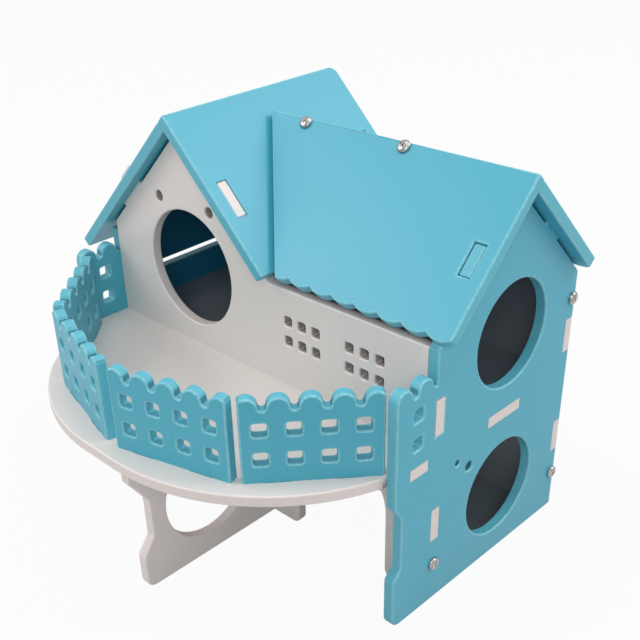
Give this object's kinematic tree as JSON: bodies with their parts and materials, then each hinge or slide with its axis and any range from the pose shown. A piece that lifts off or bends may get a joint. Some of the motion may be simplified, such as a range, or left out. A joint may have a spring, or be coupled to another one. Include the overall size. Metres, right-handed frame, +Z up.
{
  "type": "hamster house",
  "caption": "Two-storey board house for a hamster with a fenced balcony, round and arched doorways, a scalloped main roof and a cross gable, joined by tabs, slots and screws.",
  "frame": {"origin": "under the middle of the bounding box, on the ground", "axes": "+X along the main ridge to the right as seen from the balcony, +Y from the balcony back through the house, +Z up"},
  "size_m": [0.2232, 0.1852, 0.183],
  "materials": {
    "blue_board": "smooth satin, coloured through",
    "white_board": "smooth satin, off-white with a pinkish cut edge",
    "screw_steel": "bright plated"
  },
  "bodies": {
    "root": {"right_wall": "blue_board", "left_wall": "blue_board", "fence_left_side": "blue_board", "fence_left_front": "blue_board", "fence_right_front": "blue_board", "fence_right_side": "blue_board", "main_roof_front": "blue_board", "main_roof_back": "blue_board", "gable_roof_right": "blue_board", "gable_roof_left": "blue_board", "front_wall_upper": "white_board", "front_wall_lower": "white_board", "back_wall": "white_board", "floor_board": "white_board", "balcony_leg": "white_board", "right_wall_screws": "screw_steel", "left_wall_screws": "screw_steel", "ridge_screws": "screw_steel"}
  },
  "joints": []
}
